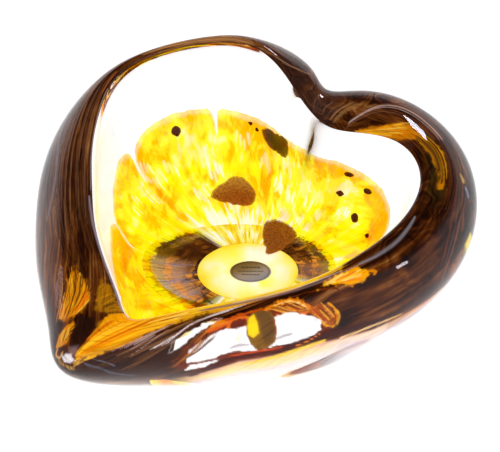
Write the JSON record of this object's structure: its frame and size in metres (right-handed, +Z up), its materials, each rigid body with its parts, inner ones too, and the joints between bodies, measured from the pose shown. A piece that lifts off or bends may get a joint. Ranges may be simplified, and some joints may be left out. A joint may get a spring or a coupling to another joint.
{
  "type": "art glass bowl",
  "caption": "Heavy heart-shaped art glass bowl with a thick rolled lip, an open cavity, amber and brown colour layers cased in clear glass and a round ground foot.",
  "frame": {"origin": "middle of the footprint, on the table under the foot", "axes": "+Z up, heart tip towards -Y, lobes towards +Y"},
  "size_m": [0.1776, 0.1912, 0.0763],
  "materials": {
    "clear_body": "clear polished",
    "foot_disc": "ground and polished, pale straw",
    "floor_disc": "pale straw glass",
    "base_ring": "dark brown glass, serrated streaks",
    "amber_pool": "mottled yellow and amber glass",
    "brown_spots": "opaque dark chips",
    "brown_lip": "streaked dark brown glass under gloss",
    "amber_trails": "feathered amber strands",
    "clear_overlay": "clear fire-polished",
    "foil_label": "satin metallic foil on paper"
  },
  "bodies": {
    "root": {"clear_body": "clear_body", "foot_disc": "foot_disc", "floor_disc": "floor_disc", "base_ring": "base_ring", "amber_pool": "amber_pool", "brown_spots": "brown_spots", "brown_lip": "brown_lip", "amber_trails": "amber_trails", "clear_overlay": "clear_overlay", "foil_label": "foil_label"}
  },
  "joints": []
}
